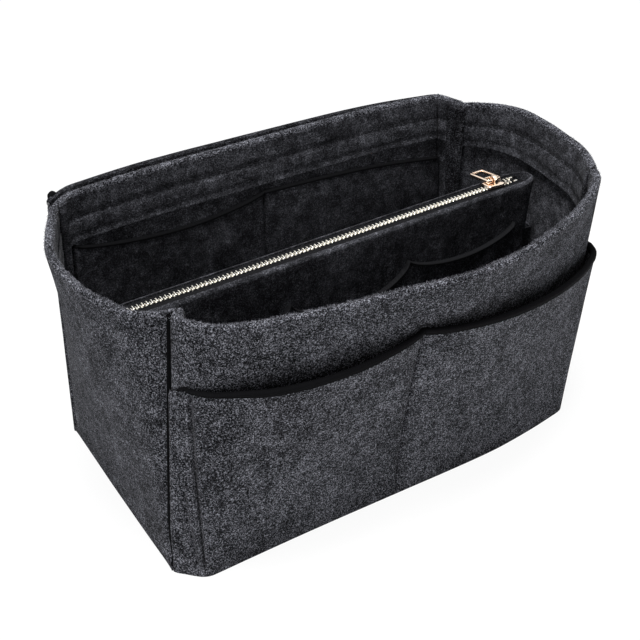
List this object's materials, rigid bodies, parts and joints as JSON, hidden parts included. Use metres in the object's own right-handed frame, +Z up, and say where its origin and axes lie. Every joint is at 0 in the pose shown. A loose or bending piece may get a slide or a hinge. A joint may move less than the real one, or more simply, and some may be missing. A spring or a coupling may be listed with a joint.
{
  "type": "handbag organizer pouch",
  "caption": "Open-top felt organizer insert for a handbag, with pockets outside and inside and a zipped divider pouch across the middle.",
  "frame": {"origin": "centre of the underside of the base, on the surface that the organizer stands on", "axes": "+X along the zip towards its closed end, +Y from the front pockets to the back, +Z up"},
  "size_m": [0.3368, 0.2086, 0.163],
  "materials": {
    "felt": "heathered charcoal felt, matt, short flecked fibres",
    "edge_binding": "dark folded binding on pocket mouths and inside seams",
    "zip_tape": "fine woven zip tape",
    "zip_metal": "polished pale gold teeth and stops",
    "slider_metal": "polished rose gold slider and puller"
  },
  "bodies": {
    "organizer": {"base_panel": "felt", "front_panel": "felt", "back_panel": "felt", "left_panel": "felt", "right_panel": "felt", "front_pocket_panel": "felt", "back_pocket_panel": "felt", "inner_pocket_panel": "felt", "pouch_front_wall": "felt", "pouch_back_wall": "felt", "slip_pocket_panel": "felt", "pouch_tab_left": "felt", "pouch_tab_right": "felt", "front_pocket_binding": "edge_binding", "back_pocket_binding": "edge_binding", "inner_pocket_binding": "edge_binding", "slip_pocket_binding": "edge_binding", "seam_binding_front_left": "edge_binding", "seam_binding_front_right": "edge_binding", "seam_binding_back_right": "edge_binding", "seam_binding_back_left": "edge_binding", "zip_tape_front": "zip_tape", "zip_tape_back": "zip_tape", "zip_teeth_front": "zip_metal", "zip_teeth_back": "zip_metal", "top_stop_front": "zip_metal", "top_stop_back": "zip_metal", "bottom_stop": "zip_metal"},
    "slider": {"slider_body": "slider_metal"},
    "puller": {"puller": "slider_metal"}
  },
  "joints": [
    {"name": "zip_slide", "type": "slide", "parent": "organizer", "child": "slider", "axis": [0.9994, 0.035, 0], "range_m": [-0.244, 0]},
    {"name": "puller_swing", "type": "hinge", "parent": "slider", "child": "puller", "pos_m": [0.11443, -0.00179, 0.1359], "axis": [0.9994, 0.035, 0], "range_deg": [0, 190]}
  ]
}
